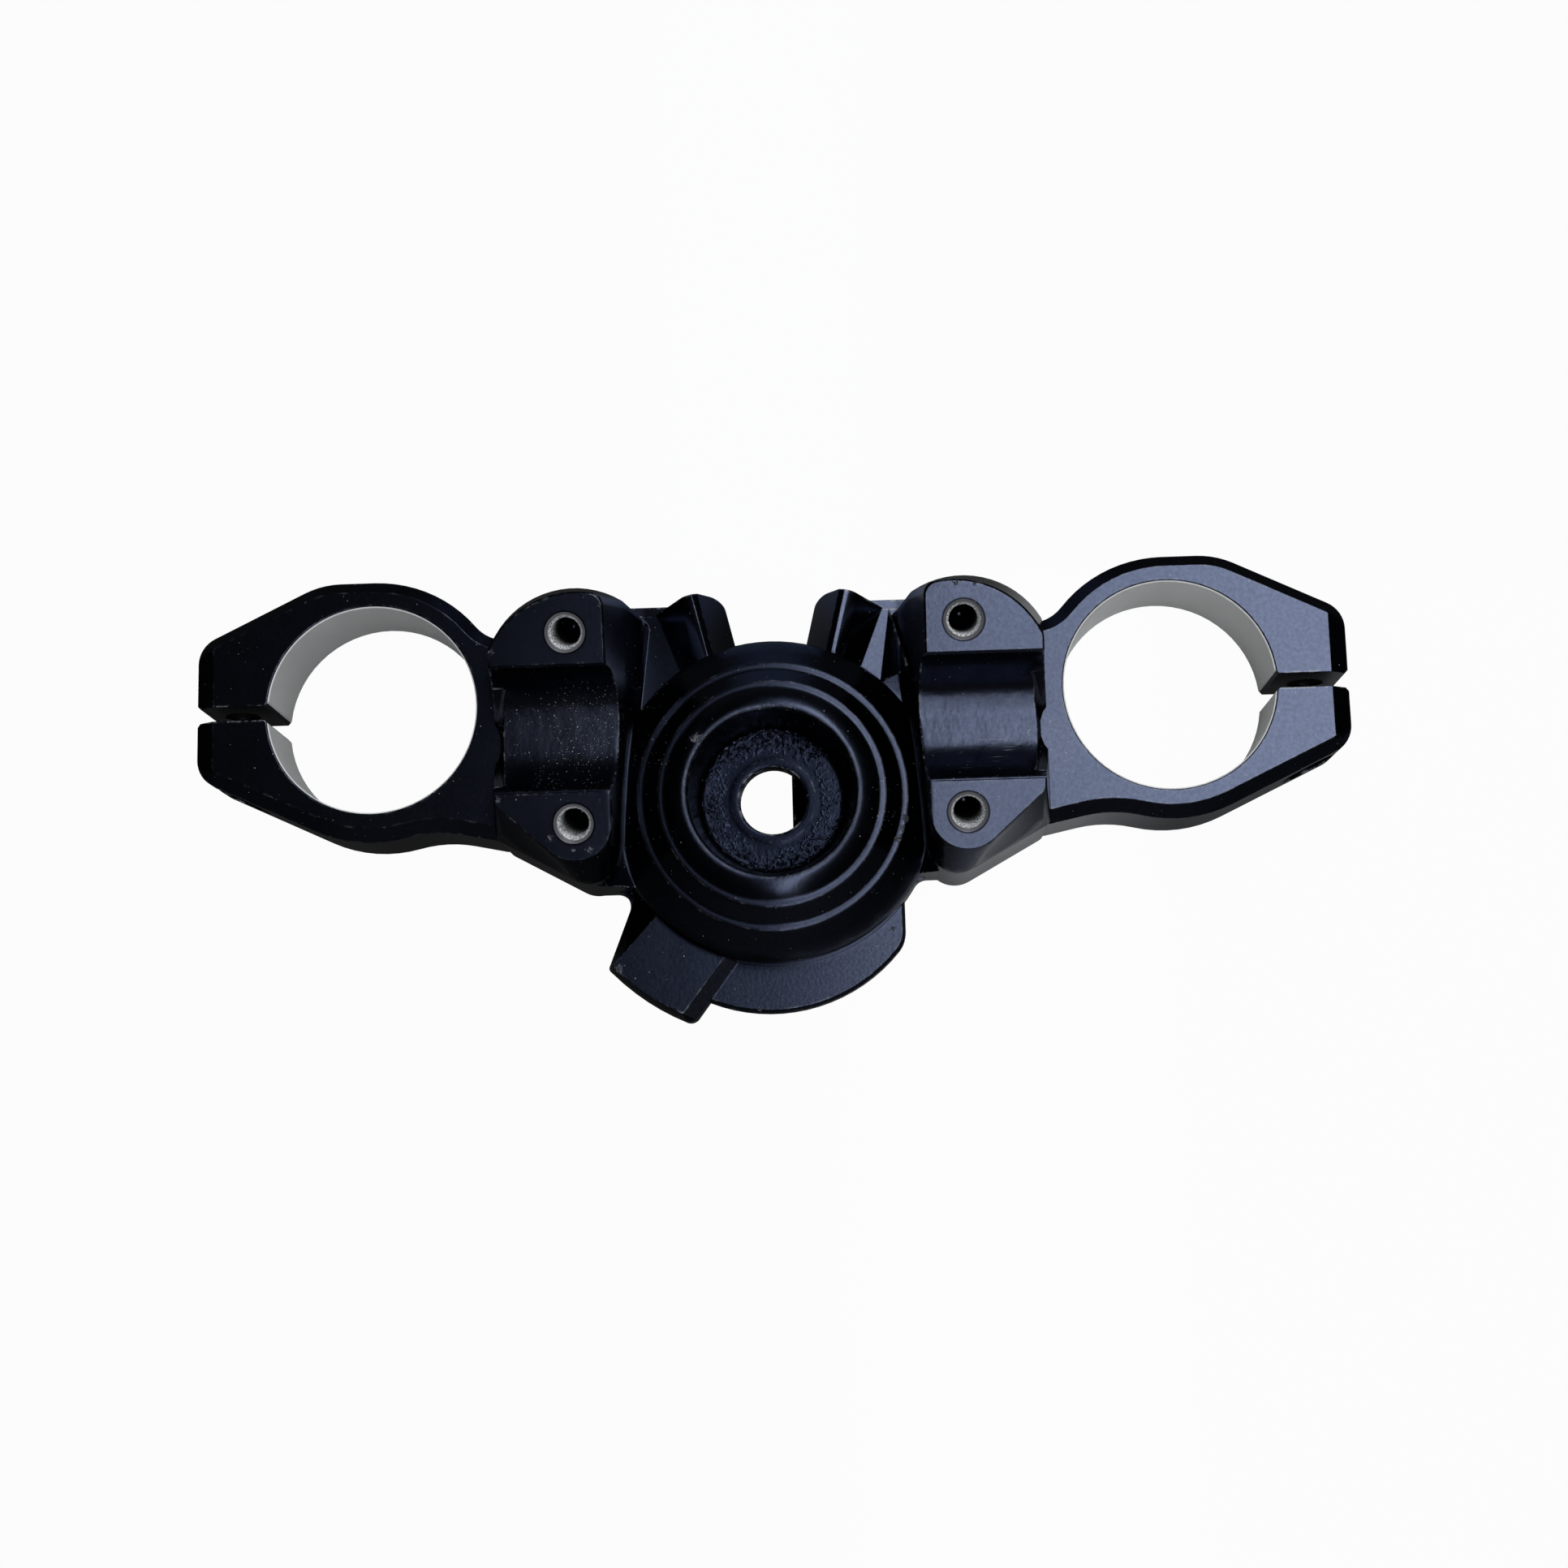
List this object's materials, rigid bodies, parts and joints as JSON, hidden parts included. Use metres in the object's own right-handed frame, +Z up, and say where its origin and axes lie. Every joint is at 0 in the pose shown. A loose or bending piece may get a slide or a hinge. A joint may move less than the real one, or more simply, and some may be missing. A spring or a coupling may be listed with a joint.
{
  "type": "motorcycle triple clamp",
  "caption": "Black cast upper fork yoke with split fork clamps at its ends, tilted handlebar saddles and a stepped central cup over the steering stem.",
  "frame": {"origin": "on the steering axis, in the flat underside", "axes": "+X to the rider's right, +Y to the front, +Z up along the steering axis"},
  "size_m": [0.2752, 0.107, 0.0516],
  "materials": {
    "black_coat": "satin black coating on cast aluminium, bare in the fork bores and threads"
  },
  "bodies": {
    "root": {"triple_clamp_body": "black_coat"}
  },
  "joints": []
}
